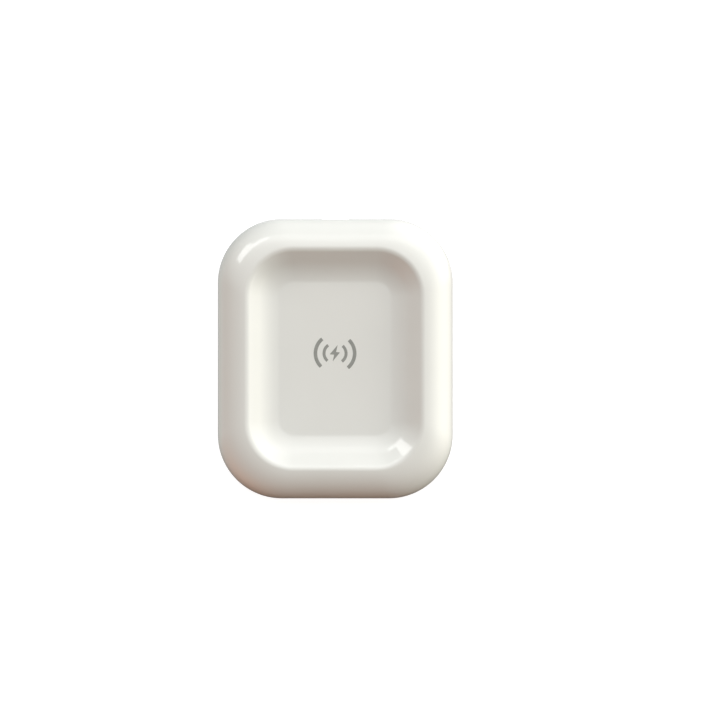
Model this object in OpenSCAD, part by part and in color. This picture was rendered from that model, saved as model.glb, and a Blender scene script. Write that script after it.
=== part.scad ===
// Wireless charging pad: a rounded tray with a dished recess, a printed symbol, a coil and a USB-C inlet.
// Millimetres. X runs left to right, Y front to rear, Z up. The origin is on the resting plane,
// under the middle of the outline. The inlet is in the rear wall.

/* [Body] */
// Overall width
body_w = 76; // [75:0.2:84]
// Overall depth
body_d = 90.4; // [89:0.2:98]
// Overall height, feet included
body_h = 15; // [14.8:0.1:16]
// Corner radius of the outline in plan
corner_r = 20.7; // [19.5:0.1:21.5]
// Radius of the rim, from its crest out to the widest line of the side
rim_r = 9.8; // [9.4:0.1:10]
// Radius of the side below its widest line
tuck_r = 12; // [10:0.5:18]
// Thickness of the outer skin
skin_t = 2.2; // [1.9:0.1:2.4]

/* [Recess] */
// Width of the recess between its lips
recess_w = 55.8; // [54:0.2:56]
// Depth of the recess, front lip to rear lip
recess_d = 69.8; // [68:0.2:70]
// Corner radius of the lip in plan
lip_r = 15; // [14:0.2:16]
// Corner radius of the flat floor in plan
floor_r = 4.9; // [4:0.1:6]
// Slope of the dished wall where it leaves the floor, in degrees
foot_slope = 9; // [6:1:12]
// Slope of the dished wall where it meets the lip, in degrees
wall_slope = 45; // [42:1:46]
// Radius that rolls the wall over into the crest
ridge_r = 2.2; // [1.8:0.1:2.6]
// Slope left at the crest, which keeps the lip crisp, in degrees
crest_slope = 8; // [6:1:10]
// Thickness of the dished wall and floor
dish_t = 1.6; // [1.4:0.1:1.7]

/* [Symbol] */
// Distance of the printed symbol behind the middle of the floor
icon_y = 1.7; // [0:0.05:4]
// Turn of the printed symbol about the vertical, in degrees
icon_turn = -2.5; // [-5:0.5:5]
// Thickness of the ink film
ink_t = 0.06; // [0.05:0.01:0.1]
// Radius of the outer arcs of the symbol, to the middle of their width
icon_r = 5.92; // [5:0.02:7]

/* [Base and feet] */
// Gap under the base, which is how far the feet stand proud
foot_proud = 0.8; // [0.6:0.1:1]
// Diameter of a foot
foot_d = 10; // [8:0.5:10]
// Thickness of the base plate
base_t = 1.8; // [1.6:0.1:2]
// Distance of the screws and feet in from the sides of the body
screw_inset = 12.6; // [12.4:0.1:13]
// Shank diameter of the screws that hold the base
screw_d = 2.2; // [2:0.1:2.4]

/* [Coil] */
// Number of turns of the winding
turns = 10; // [8:1:10]
// Diameter of the stranded wire
wire_d = 1; // [0.9:0.05:1]
// Radius of the first half turn
coil_r = 10.3; // [10.2:0.1:10.4]
// Distance between neighbouring turns
coil_pitch = 1.12; // [1.08:0.01:1.14]
// Side length of the square ferrite sheet
ferrite_w = 46; // [45.5:0.5:47]
// Thickness of the ferrite sheet
ferrite_t = 1; // [0.9:0.05:1.1]

/* [Circuit board] */
// Width of the circuit board
board_w = 40; // [38:0.5:40]
// Length of the circuit board, front to rear
board_l = 17; // [16.6:0.1:17.2]
// Thickness of the circuit board
board_t = 1; // [0.8:0.1:1]
// Height of the underside of the board above the resting plane
board_z = 3.6; // [3.5:0.1:3.7]

/* [USB-C inlet] */
// Outer width of the metal receptacle
usb_w = 8.94; // [8.9:0.01:9]
// Outer height of the metal receptacle
usb_h = 3.26; // [3.2:0.01:3.3]
// Length of the metal receptacle
usb_l = 7.35; // [7:0.05:7.5]

/* [Hidden] */
$fn = 96;
fit = 0.2;          // clearance between mouldings
touch = 0.02;       // clearance between stacked pieces
cut = 1;            // how far a cutting solid runs past a face
tape_t = 0.1;

// Plan of the outer side
side_x = body_w / 2 - corner_r;
side_y = body_d / 2 - corner_r;
rim_c = corner_r - rim_r;
wide_z = body_h - rim_r;
base_z = foot_proud;
plate_z = base_z + base_t;
ceiling_z = body_h - skin_t;

// Plan and section of the recess
dish_x = recess_w / 2 - lip_r;
dish_y = recess_d / 2 - lip_r;
ridge_run = ridge_r * (sin(wall_slope) - sin(crest_slope));
ridge_rise = ridge_r * (cos(crest_slope) - cos(wall_slope));
wall_r = (lip_r - floor_r - ridge_run) / (sin(wall_slope) - sin(foot_slope));
wall_c = floor_r - wall_r * sin(foot_slope);
wall_rise = wall_r * (cos(foot_slope) - cos(wall_slope));
floor_z = body_h - ridge_rise - wall_rise;
wall_cz = floor_z + wall_r * cos(foot_slope);
join_r = lip_r - ridge_run;
join_z = body_h - ridge_rise;

// Stack under the floor, from the top down
under_z = floor_z - dish_t;
coil_z = under_z - tape_t - touch - wire_d / 2;
tape_z = coil_z - wire_d / 2 - touch - tape_t;
ferrite_z = tape_z - ferrite_t;
half_turns = 2 * turns;
coil_end_r = coil_r + (half_turns - 1) * coil_pitch / 2;
winding_r = coil_end_r + coil_pitch / 4 + wire_d / 2;
tape_inner_r = coil_r + 0.9;
lead_d = 0.9;
lead_x = 7;         // how far left the inner lead runs to the board
outer_lead_x = 4;   // how far right the outer lead reaches the board
sensor_z = coil_z - 0.45;

// Screws and feet
screw_x = body_w / 2 - screw_inset;
screw_y = body_d / 2 - screw_inset;
corners = [[1, 1, 0], [-1, 1, 90], [-1, -1, 180], [1, -1, 270]];
boss_z = 4.4;       // where the bosses of the two shells meet
boss_d = 5.6;
screw_l = 6;
head_d = 4;
head_t = 1.3;
pocket_t = 0.5;     // depth of the recess that holds a foot
seat_z = base_z + pocket_t + head_t + fit;

// Circuit board and inlet
board_y = body_d / 2 - skin_t - 0.6 - board_l;
board_top = board_z + board_t;
board_boss_d = 4.4;
board_screw_d = 1.8;
board_screw_x = board_w / 2 - 4;
board_screw_y = board_y + 9.2;
usb_mouth = body_d / 2 - 0.6;
usb_z = board_top + usb_h / 2;
usb_wall = 0.3;
lamp_x = 11;
lamp_z = board_top + 0.9;
lamp_d = 1.8;

// Solder joints, for the coil's leads and for the sensor's
pad_y = 28.7;
sensor_pad_y = 27.7;

// Routes of the wires, from the coil or the sensor to the board
lead_end_y = pad_y - 1.1;
inner_route = [
    [-0.03, coil_r - coil_pitch / 4, coil_z], [-1, 9.97, coil_z - 0.08], [-2, 9.85, coil_z - 0.35],
    [-3, 9.7, coil_z - 0.7], [-4, 9.6, coil_z - 1], [-5.2, 9.6, ferrite_z + 0.5],
    [-6.4, 10.2, ferrite_z + 0.5], [-lead_x, 11.4, ferrite_z + 0.5], [-lead_x, 17, ferrite_z + 0.5],
    [-lead_x, 22.8, ferrite_z + 0.5], [-lead_x, 24.8, ferrite_z + 0.1], [-lead_x, 26.2, board_top + 0.75],
    [-lead_x, lead_end_y, board_top + 0.5]];
outer_route = [
    [0.03, coil_end_r + coil_pitch / 4, coil_z], [1.4, 21.35, coil_z], [2.8, 22, coil_z],
    [3.6, 23.2, coil_z - 0.1], [outer_lead_x, 24.4, coil_z - 0.6], [outer_lead_x, 25.4, coil_z - 1.5],
    [outer_lead_x, 26.4, board_top + 0.8], [outer_lead_x, lead_end_y, board_top + 0.5]];
sensor_route = [
    [0, 0, sensor_z - touch], [0, 0, ferrite_z + 0.3], [0, 0.5, ferrite_z - 0.4],
    [0, 1.6, ferrite_z - 0.6], [0, 12, ferrite_z - 0.6], [0, 23, ferrite_z - 0.6],
    [0, 26, board_top + 0.5], [0, sensor_pad_y - 0.5, board_top + 0.25]];

// ---- Shared shapes ----

// Sweeps a section, drawn as radius and height, round a rounded rectangle, and fills its middle
module swept_block(half_x, half_y, low_z, high_z) {
    for (c = corners)
        translate([c[0] * half_x, c[1] * half_y, 0])
            rotate([0, 0, c[2]])
                rotate_extrude(angle = 90)
                    children();
    for (turn = [0, 180])
        rotate([0, 0, turn]) {
            translate([half_x, half_y, 0])
                rotate([90, 0, 0])
                    linear_extrude(2 * half_y)
                        children();
            translate([-half_x, half_y, 0])
                rotate([90, 0, 90])
                    linear_extrude(2 * half_x)
                        children();
        }
    translate([-half_x, -half_y, low_z])
        cube([2 * half_x, 2 * half_y, high_z - low_z]);
}

module rounded_plate(w, d, r, t) {
    linear_extrude(t) {
        square([w - 2 * r, d], center = true);
        square([w, d - 2 * r], center = true);
        for (c = corners)
            translate([c[0] * (w / 2 - r), c[1] * (d / 2 - r)])
                circle(r);
    }
}

module box_at(x, y, z, w, l, t) {
    translate([x - w / 2, y - l / 2, z])
        cube([w, l, t]);
}

module at_screws() {
    for (c = corners)
        translate([c[0] * screw_x, c[1] * screw_y, 0])
            children();
}

module at_board_screws() {
    for (side = [-1, 1])
        translate([side * board_screw_x, board_screw_y, 0])
            children();
}

// A slot with round ends, standing up in XZ and running along +Y
module round_slot(w, h, l) {
    rotate([90, 0, 180])
        linear_extrude(l) {
            square([w - h, h], center = true);
            for (side = [-1, 1])
                translate([side * (w - h) / 2, 0])
                    circle(h / 2);
        }
}

// A smooth curve through the points of a route
function blend(a, b, c, d, t) =
    0.5 * (2 * b + (c - a) * t + (2 * a - 5 * b + 4 * c - d) * t * t
        + (3 * b - a - 3 * c + d) * t * t * t);
function route_point(p, i) = p[max(0, min(len(p) - 1, i))];
function smooth(p, steps) = [
    for (i = [0:len(p) - 2], s = [0:steps - 1])
        blend(route_point(p, i - 1), p[i], p[i + 1], route_point(p, i + 2), s / steps),
    p[len(p) - 1]];
function unit(v) = v / norm(v);
function heading(p, i) = unit(route_point(p, i + 1) - route_point(p, i - 1));
function ring(centre, ahead, up, r, sides) =
    let (across = unit(cross(ahead, up)), over = cross(across, ahead))
    [for (k = [0:sides - 1])
        centre + r * (across * cos(360 * k / sides) + over * sin(360 * k / sides))];

// A round wire along a route, whose direction is never that of up
module wire(route, d, up) {
    sides = 8;
    path = smooth(route, 3);
    rings = len(path);
    points = [for (i = [0:rings - 1]) each ring(path[i], heading(path, i), up, d / 2, sides)];
    walls = [
        for (i = [0:rings - 2], k = [0:sides - 1])
            let (a = i * sides + k, b = i * sides + (k + 1) % sides)
                each [[a, b, b + sides], [a, b + sides, a + sides]]];
    caps = [
        [for (k = [0:sides - 1]) sides - 1 - k],
        [for (k = [0:sides - 1]) (rings - 1) * sides + k]];
    polyhedron(points, concat(walls, caps));
}

// ---- Casing ----

module outer_section() {
    translate([0, base_z])
        square([rim_c, body_h - base_z]);
    intersection() {
        translate([rim_c, wide_z])
            circle(rim_r);
        translate([rim_c, wide_z])
            square(rim_r + cut);
    }
    intersection() {
        translate([corner_r - tuck_r, wide_z])
            circle(tuck_r);
        translate([rim_c, base_z])
            square([rim_r + cut, wide_z - base_z]);
    }
}

module inner_section() {
    translate([0, base_z - cut])
        square([rim_c, ceiling_z - base_z + cut]);
    translate([rim_c, base_z - cut])
        square([rim_r - skin_t, wide_z - base_z + cut]);
    intersection() {
        translate([rim_c, wide_z])
            circle(rim_r - skin_t);
        translate([rim_c, wide_z])
            square(rim_r);
    }
}

// Everything above the surface of the recess
module recess_section() {
    translate([0, floor_z])
        square([floor_r, body_h + cut - floor_z]);
    intersection() {
        translate([wall_c, wall_cz])
            circle(wall_r);
        translate([floor_r, floor_z - cut])
            square([join_r - floor_r, body_h + 2 * cut - floor_z]);
    }
    difference() {
        translate([join_r, join_z])
            square([ridge_run, ridge_rise + cut]);
        translate([lip_r + ridge_r * sin(crest_slope), body_h - ridge_r * cos(crest_slope)])
            circle(ridge_r);
    }
}

// The same, a wall thickness lower: what is kept clear of the hollow inside
module dish_section() {
    r = wall_r + dish_t;
    start = wall_c + sqrt(r * r - pow(wall_cz - under_z, 2));
    translate([0, under_z])
        square([start, body_h + cut - under_z]);
    intersection() {
        translate([wall_c, wall_cz])
            circle(r);
        translate([start, under_z - cut])
            square([lip_r - start, body_h + 2 * cut - under_z]);
    }
}

module hollow() {
    difference() {
        swept_block(side_x, side_y, base_z - cut, ceiling_z)
            inner_section();
        swept_block(dish_x, dish_y, under_z, body_h + cut)
            dish_section();
        at_screws()
            translate([0, 0, boss_z])
                cylinder(h = body_h, d = boss_d);
        at_board_screws()
            translate([0, 0, board_top])
                cylinder(h = body_h, d = board_boss_d);
    }
}

module top_shell() {
    pilot_l = 5.8;
    board_pilot_l = 4.4;
    color("white")
        difference() {
            swept_block(side_x, side_y, base_z, body_h)
                outer_section();
            swept_block(dish_x, dish_y, floor_z, body_h + cut)
                recess_section();
            hollow();
            icon_film(floor_z + cut);
            at_screws()
                translate([0, 0, boss_z - cut])
                    cylinder(h = pilot_l + cut, d = screw_d + touch);
            at_board_screws()
                translate([0, 0, board_top - cut])
                    cylinder(h = board_pilot_l + cut, d = board_screw_d + touch);
            translate([0, body_d / 2 - skin_t - cut, usb_z])
                round_slot(usb_w + 2 * fit, usb_h + 2 * fit, skin_t + 2 * cut);
            translate([lamp_x, body_d / 2 - skin_t - cut, lamp_z])
                rotate([-90, 0, 0])
                    cylinder(h = skin_t + 2 * cut, d = lamp_d + 2 * touch);
        }
}

module base_cover() {
    edge_r = corner_r - skin_t - fit;
    plate_w = 2 * (side_x + edge_r);
    plate_d = 2 * (side_y + edge_r);
    lip_t = 1.2;
    lip_h = 0.7;
    panel_w = 36;
    panel_d = 22;
    panel_r = 2;
    panel_t = 0.3;
    color("ghostwhite")
        difference() {
            union() {
                translate([0, 0, base_z])
                    rounded_plate(plate_w, plate_d, edge_r, base_t);
                difference() {
                    translate([0, 0, plate_z - touch])
                        rounded_plate(plate_w, plate_d, edge_r, lip_h + touch);
                    translate([0, 0, plate_z - cut])
                        rounded_plate(plate_w - 2 * lip_t, plate_d - 2 * lip_t,
                            edge_r - lip_t, lip_h + 2 * cut);
                }
                at_screws()
                    translate([0, 0, plate_z - touch])
                        cylinder(h = boss_z - plate_z + touch, d = boss_d + 1.4);
            }
            at_screws() {
                translate([0, 0, base_z - cut])
                    cylinder(h = pocket_t + cut, d = foot_d + fit);
                translate([0, 0, base_z - cut])
                    cylinder(h = seat_z - base_z + cut, d = head_d + 2 * fit);
                translate([0, 0, base_z])
                    cylinder(h = boss_z, d = screw_d + fit);
            }
            translate([0, 0, base_z - cut])
                rounded_plate(panel_w, panel_d, panel_r, cut + panel_t);
        }
}

// ---- Printed symbol ----

// One arc of the symbol, opening towards the middle, with its half angle in degrees
module icon_arc(r, half_angle, width) {
    steps = 8;
    reach = 2 * r;
    wedge = [for (k = [0:steps])
        let (a = half_angle * (2 * k / steps - 1)) [reach * cos(a), reach * sin(a)]];
    offset_x = 0.35;
    translate([offset_x, 0])
        intersection() {
            difference() {
                circle(r + width / 2);
                circle(r - width / 2);
            }
            polygon(concat([[0, 0]], wedge));
        }
}

// The whole symbol, a bolt between two pairs of arcs, down from the floor by the thickness of the ink
module icon_film(top_z) {
    outer_w = 1.15;
    outer_half = 48.5;
    inner_r = 0.535 * icon_r;
    inner_w = 0.95;
    inner_half = 52;
    bolt = [[0.125, 0.465], [-0.285, -0.065], [-0.045, -0.075],
        [-0.105, -0.44], [0.265, 0.065], [0.05, 0.072]];
    translate([0, icon_y, floor_z - ink_t])
        rotate([0, 0, icon_turn])
            linear_extrude(top_z - floor_z + ink_t) {
                for (turn = [0, 180])
                    rotate(turn) {
                        icon_arc(icon_r, outer_half, outer_w);
                        icon_arc(inner_r, inner_half, inner_w);
                    }
                polygon(bolt * icon_r);
            }
}

module charge_icon() {
    color("gray")
        icon_film(floor_z);
}

// ---- Feet and fasteners ----

// A soft disc with a rounded lower edge, glued in its recess over a screw
module foot(x, y) {
    edge = 0.3;
    foot_t = foot_proud + pocket_t;
    color("gainsboro")
        translate([x, y, 0])
            rotate_extrude() {
                square([foot_d / 2 - edge, foot_t]);
                translate([0, edge])
                    square([foot_d / 2, foot_t - edge]);
                translate([foot_d / 2 - edge, edge])
                    circle(edge);
            }
}

module foot_front_left() {
    foot(-screw_x, -screw_y);
}

module foot_front_right() {
    foot(screw_x, -screw_y);
}

module foot_rear_left() {
    foot(-screw_x, screw_y);
}

module foot_rear_right() {
    foot(screw_x, screw_y);
}

// A pan-head screw pointing up, with its head under the seat at z = 0 and a cross recess
module pan_screw(d, l, big_d, thick) {
    slot_w = 0.22 * big_d;
    difference() {
        union() {
            translate([0, 0, -thick])
                cylinder(h = thick, d1 = 0.8 * big_d, d2 = big_d);
            translate([0, 0, -touch])
                cylinder(h = l + touch, d = d);
            translate([0, 0, l - touch])
                cylinder(h = d / 2, d1 = d, d2 = 0.3 * d);
        }
        for (turn = [0, 90])
            rotate([0, 0, turn])
                translate([-0.3 * big_d, -slot_w / 2, -thick - cut])
                    cube([0.6 * big_d, slot_w, cut + 0.55 * thick]);
    }
}

module case_screws() {
    color("silver")
        at_screws()
            translate([0, 0, seat_z])
                pan_screw(screw_d, screw_l, head_d, head_t);
}

module board_screws() {
    small_head_d = 3.4;
    small_head_t = 0.9;
    small_l = 4.2;
    color("silver")
        at_board_screws()
            translate([0, 0, board_z])
                pan_screw(board_screw_d, small_l, small_head_d, small_head_t);
}

module light_pipe() {
    flange_d = lamp_d + 0.7;
    flange_t = 0.35;
    inner_y = body_d / 2 - skin_t - fit;
    color("aliceblue")
        translate([lamp_x, inner_y, lamp_z])
            rotate([-90, 0, 0]) {
                translate([0, 0, -flange_t])
                    cylinder(h = flange_t, d = flange_d);
                translate([0, 0, -touch])
                    cylinder(h = skin_t + touch, d = lamp_d);
            }
}

// ---- Coil stack ----

module coil_tape() {
    color("khaki")
        translate([0, 0, under_z - tape_t])
            difference() {
                cylinder(h = tape_t, r = winding_r);
                translate([0, 0, -cut])
                    cylinder(h = tape_t + 2 * cut, r = coil_r - 0.6);
            }
}

// A flat spiral of half circles: each is half a pitch larger, and their centres alternate
module charging_coil() {
    color("peru")
        for (k = [0:half_turns - 1]) {
            right = k % 2 == 0;
            translate([0, (right ? -1 : 1) * coil_pitch / 4, coil_z])
                rotate([0, 0, right ? -90 : 90])
                    rotate_extrude(angle = 180)
                        translate([coil_r + k * coil_pitch / 2, 0])
                            circle(d = wire_d, $fn = 24);
        }
}

module coil_lead_inner() {
    color("peru")
        wire(inner_route, lead_d, [0, 0, 1]);
}

module coil_lead_outer() {
    color("peru")
        wire(outer_route, lead_d, [0, 0, 1]);
}

module ferrite_tape() {
    color("khaki")
        translate([0, 0, tape_z])
            difference() {
                cylinder(h = tape_t, r = winding_r);
                translate([0, 0, -cut])
                    cylinder(h = tape_t + 2 * cut, r = tape_inner_r);
            }
}

// A square sheet with an angled slot, where the inner lead passes under the winding
module ferrite_shield() {
    slot_w = 1.5;
    slot_y = 8.9;       // where the slot starts, under the inner edge of the winding
    notch_l = 1.9;
    sensor_hole = 2.6;
    color("dimgray")
        translate([0, 0, ferrite_z])
            difference() {
                rounded_plate(ferrite_w, ferrite_w, 2, ferrite_t);
                translate([-lead_x - slot_w / 2, slot_y, -cut])
                    cube([slot_w, ferrite_w / 2, ferrite_t + 2 * cut]);
                translate([-lead_x - slot_w / 2, slot_y, -cut])
                    cube([lead_x, notch_l, ferrite_t + 2 * cut]);
                translate([0, 0, -cut])
                    cylinder(h = ferrite_t + 2 * cut, d = sensor_hole);
            }
}

// A block of foam that presses the ferrite up, with a groove for the sensor's wires
module support_foam() {
    foam_w = 36;
    foam_r = 3;
    groove_w = 2.6;
    groove_t = 1.1;
    color("darkslategray")
        difference() {
            translate([0, 0, plate_z])
                rounded_plate(foam_w, foam_w, foam_r, ferrite_z - plate_z);
            translate([-groove_w / 2, -groove_w / 2, ferrite_z - groove_t])
                cube([groove_w, foam_w, groove_t + cut]);
        }
}

module temperature_sensor() {
    bead_d = 2;
    bead_h = 1;
    crown_h = 0.3;
    color("saddlebrown")
        translate([0, 0, sensor_z]) {
            cylinder(h = bead_h - crown_h, d = bead_d);
            translate([0, 0, bead_h - crown_h - touch])
                cylinder(h = crown_h, d1 = bead_d, d2 = 0.7 * bead_d);
        }
}

module sensor_leads() {
    insulation_d = 0.36;
    color("darkred")
        for (side = [-0.5, 0.5])
            translate([side, 0, 0])
                wire(sensor_route, insulation_d, [1, 0, 0]);
}

// ---- Circuit board ----

module circuit_board() {
    color("seagreen")
        difference() {
            translate([0, board_y + board_l / 2, board_z])
                rounded_plate(board_w, board_l, 1, board_t);
            at_board_screws()
                translate([0, 0, board_z - cut])
                    cylinder(h = board_t + 2 * cut, d = board_screw_d + fit);
        }
}

module usb_shell() {
    color("silver")
        difference() {
            translate([0, usb_mouth - usb_l, usb_z])
                round_slot(usb_w, usb_h, usb_l);
            translate([0, usb_mouth - usb_l + usb_wall, usb_z])
                round_slot(usb_w - 2 * usb_wall, usb_h - 2 * usb_wall, usb_l);
        }
}

// The insulator: a block at the back of the receptacle and a thin tongue that reaches to its mouth
module usb_tongue() {
    tongue_w = 6.7;
    tongue_l = 4.5;
    tongue_t = 0.7;
    block_l = 1.8;
    back = usb_mouth - usb_l + usb_wall;
    color("black") {
        translate([0, back, usb_z])
            round_slot(usb_w - 2 * usb_wall - touch, usb_h - 2 * usb_wall - touch, block_l);
        box_at(0, back + block_l + tongue_l / 2 - 0.05, usb_z - tongue_t / 2, tongue_w, tongue_l, tongue_t);
    }
}

// Twelve contacts on each face of the tongue
module usb_contacts() {
    contact_w = 0.26;
    contact_l = 3.6;
    contact_t = 0.05;
    pitch = 0.5;
    face = 0.35;        // from the middle of the tongue to its faces
    start = usb_mouth - usb_l + usb_wall + 1.8 + touch;
    color("gold")
        for (k = [0:11], low = [usb_z + face, usb_z - face - contact_t])
            box_at((k - 5.5) * pitch, start + contact_l / 2, low, contact_w, contact_l, contact_t);
}

// One component on the board, placed by its middle, with its depth from the board's front edge
module on_board(x, from_front, w, l, t) {
    box_at(x, board_y + from_front, board_top, w, l, t);
}

module transmitter_ic() {
    package_w = 6;
    package_t = 0.9;
    color("black")
        on_board(-2, 8, package_w, package_w, package_t);
}

// Four switches in a square
module bridge_mosfets() {
    package_w = 3.1;
    package_t = 0.85;
    color("black")
        for (x = [4.5, 8.3], front = [6, 9.5])
            on_board(x, front, package_w, package_w, package_t);
}

module resonant_capacitors() {
    chip_l = 3.2;
    chip_w = 1.6;
    chip_t = 1.3;
    spacing = 2.2;
    color("tan")
        for (k = [1:4])
            on_board(-11.6, k * spacing, chip_l, chip_w, chip_t);
}

module input_capacitors() {
    chip_l = 3.2;
    chip_w = 2.5;
    chip_t = 1.8;
    color("tan")
        for (x = [-8.6, -12.4])
            on_board(x, 14, chip_l, chip_w, chip_t);
}

module clock_crystal() {
    can_w = 2.5;
    can_l = 3.2;
    can_t = 0.7;
    color("lightgray")
        on_board(-7, 9.6, can_w, can_l, can_t);
}

module sense_resistor() {
    chip_w = 1.6;
    chip_l = 3.2;
    chip_t = 0.6;
    color("black")
        on_board(12, 9.4, chip_w, chip_l, chip_t);
}

module chip_resistors() {
    chip_l = 1;
    chip_w = 0.5;
    chip_t = 0.35;
    spacing = 1.8;
    first_x = -0.4;
    color("black")
        for (k = [0:6])
            on_board(first_x + spacing * k, 11.4, chip_l, chip_w, chip_t);
}

module chip_capacitors() {
    chip_l = 1;
    chip_w = 0.5;
    chip_t = 0.5;
    spacing = 1.8;
    first_x = 7;
    color("burlywood")
        for (k = [0:3], front = [1.6, 2.9])
            on_board(first_x + spacing * k, front, chip_l, chip_w, chip_t);
}

module status_led() {
    chip_l = 1.6;
    chip_w = 1;
    chip_t = 0.8;
    color("lightyellow")
        on_board(lamp_x, board_l - 0.9, chip_l, chip_w, chip_t);
}

// Solder on the wire pads of the board
module solder_joints() {
    dome_r = 1;
    dome_h = 0.9;
    small_r = 0.42;
    small_h = 0.4;
    color("silver") {
        for (x = [-lead_x, outer_lead_x])
            translate([x, pad_y, board_top])
                cylinder(h = dome_h, r1 = dome_r, r2 = 0.6 * dome_r);
        for (x = [-0.5, 0.5])
            translate([x, sensor_pad_y, board_top])
                cylinder(h = small_h, r1 = small_r, r2 = 0.6 * small_r);
    }
}

top_shell();
base_cover();
charge_icon();
foot_front_left();
foot_front_right();
foot_rear_left();
foot_rear_right();
case_screws();
light_pipe();
coil_tape();
charging_coil();
coil_lead_inner();
coil_lead_outer();
ferrite_tape();
ferrite_shield();
support_foam();
temperature_sensor();
sensor_leads();
circuit_board();
board_screws();
usb_shell();
usb_tongue();
usb_contacts();
transmitter_ic();
bridge_mosfets();
resonant_capacitors();
input_capacitors();
clock_crystal();
sense_resistor();
chip_resistors();
chip_capacitors();
status_led();
solder_joints();
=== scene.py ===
from math import acos, asin, copysign, cos, pi, radians, sin, tan

import bmesh
import bpy
from mathutils import Matrix, Vector


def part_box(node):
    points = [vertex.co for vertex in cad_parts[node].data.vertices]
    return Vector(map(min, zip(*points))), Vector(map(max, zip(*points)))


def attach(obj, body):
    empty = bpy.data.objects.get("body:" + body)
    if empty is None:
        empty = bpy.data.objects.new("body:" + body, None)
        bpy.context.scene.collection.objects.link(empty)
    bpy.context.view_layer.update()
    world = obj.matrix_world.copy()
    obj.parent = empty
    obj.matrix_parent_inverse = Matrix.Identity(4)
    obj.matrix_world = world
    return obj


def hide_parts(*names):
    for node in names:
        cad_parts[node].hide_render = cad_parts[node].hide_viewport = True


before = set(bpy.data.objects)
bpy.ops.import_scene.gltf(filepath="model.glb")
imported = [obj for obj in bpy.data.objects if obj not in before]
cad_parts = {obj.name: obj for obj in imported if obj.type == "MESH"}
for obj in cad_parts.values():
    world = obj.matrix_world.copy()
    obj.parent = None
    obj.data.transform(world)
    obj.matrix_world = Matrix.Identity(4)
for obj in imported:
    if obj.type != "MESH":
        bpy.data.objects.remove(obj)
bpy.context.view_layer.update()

MM = 0.001


def box_mm(node):
    """The lowest and highest corner of a CAD node, in millimetres."""
    low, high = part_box(node)
    return Vector(low) / MM, Vector(high) / MM


# ---- Sizes, in millimetres ----

shell_low, shell_high = box_mm("top_shell")
base_high = box_mm("base_cover")[1]
usb_low, usb_high = box_mm("usb_shell")
lamp_low, lamp_high = box_mm("light_pipe")
board_low, board_high = box_mm("circuit_board")
OUT_X, OUT_Y, TOP_Z = shell_high
BASE_Z = shell_low.z
FLOOR_Z = box_mm("charge_icon")[1].z
BOARD_TOP = board_high.z

# The outer side: plan corner, rim and tuck, as on the CAD shell
CORNER_R = 20.7
RIM_R = 9.8
TUCK_R = 12.0
WIDE_Z = TOP_Z - RIM_R

# Thicknesses of the top shell, its floor and the base plate
SKIN = 2.2
FLOOR_SKIN = 1.6
PLATE_Z = BASE_Z + 1.8
CEILING_Z = TOP_Z - SKIN
UNDER_Z = FLOOR_Z - FLOOR_SKIN

# The recess: the crest line and the edge of the flat floor, each a rounded rectangle
CREST = (OUT_X - 9.8, OUT_Y - 10.1, 15.2)
FLOOR = (17.85, 24.5, 4.9)
RIDGE_R = 2.4
FOOT_SLOPE = radians(9)
WALL_SLOPE = radians(36.5)
CREASE_SLOPE = radians(11.5)
SHOULDER = radians(9)

# Where the base is screwed on, and the two screws of the circuit board
SCREW_X = OUT_X - 12.6
SCREW_Y = OUT_Y - 12.6
CORNERS = [(x, y) for x in (-SCREW_X, SCREW_X) for y in (-SCREW_Y, SCREW_Y)]
BOARD_SCREWS = [(-16, 34.6), (16, 34.6)]
BOSS_Z = 4.4
PIN_R = 0.9

# The winding
TURNS = 10
COIL_R = 10.3
PITCH = 1.12
WIRE_R = 0.5
STRANDS = 7
COIL_Z = sum(corner.z for corner in box_mm("charging_coil")) / 2
COIL_END_R = COIL_R + (2 * TURNS - 1) * PITCH / 2
FERRITE_LOW = box_mm("ferrite_shield")[0].z


# ---- Mesh building ----

def span(start, end, count):
    return [start + (end - start) * i / count for i in range(count + 1)]


# The corners of a rectangle, counter-clockwise
QUARTERS = ((1, 1), (-1, 1), (-1, -1), (1, -1))


def rounded_loop(half_x, half_y, radius, corner_steps=48, side_steps=10):
    """A rounded rectangle's points, counter-clockwise, from where its right side meets a corner."""
    arcs = []
    for k, (sx, sy) in enumerate(QUARTERS):
        cx, cy = sx * (half_x - radius), sy * (half_y - radius)
        angles = [radians(90 * (k + i / corner_steps)) for i in range(corner_steps + 1)]
        arcs.append([(cx + radius * cos(a), cy + radius * sin(a)) for a in angles])
    points = []
    for arc, following in zip(arcs, arcs[1:] + arcs[:1]):
        (x0, y0), (x1, y1) = arc[-1], following[0]
        points += arc
        points += [(x0 + (x1 - x0) * i / side_steps, y0 + (y1 - y0) * i / side_steps)
                   for i in range(1, side_steps)]
    return points


def stadium_loop(half_x, half_z):
    """A slot with round ends, as points in XZ."""
    reach = half_x - half_z
    right = [radians(a) for a in span(-90, 90, 16)]
    return ([(reach + half_z * cos(a), half_z * sin(a)) for a in right]
            + [(-reach - half_z * cos(a), -half_z * sin(a)) for a in right])


def new_object(name, data):
    obj = bpy.data.objects.new(name, data)
    bpy.context.scene.collection.objects.link(obj)
    return obj


def sharpen(obj, degrees=35):
    """Smooth shading, with hard edges where the surface turns by more than this."""
    obj.data.shade_smooth()
    obj.data.set_sharp_from_angle(angle=radians(degrees))


def add_object(name, bm, sharp=35):
    """Makes an object of a bmesh in millimetres."""
    bmesh.ops.scale(bm, vec=(MM, MM, MM), verts=bm.verts)
    bmesh.ops.recalc_face_normals(bm, faces=bm.faces)
    mesh = bpy.data.meshes.new(name)
    bm.to_mesh(mesh)
    bm.free()
    obj = new_object(name, mesh)
    sharpen(obj, sharp)
    return obj


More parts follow.
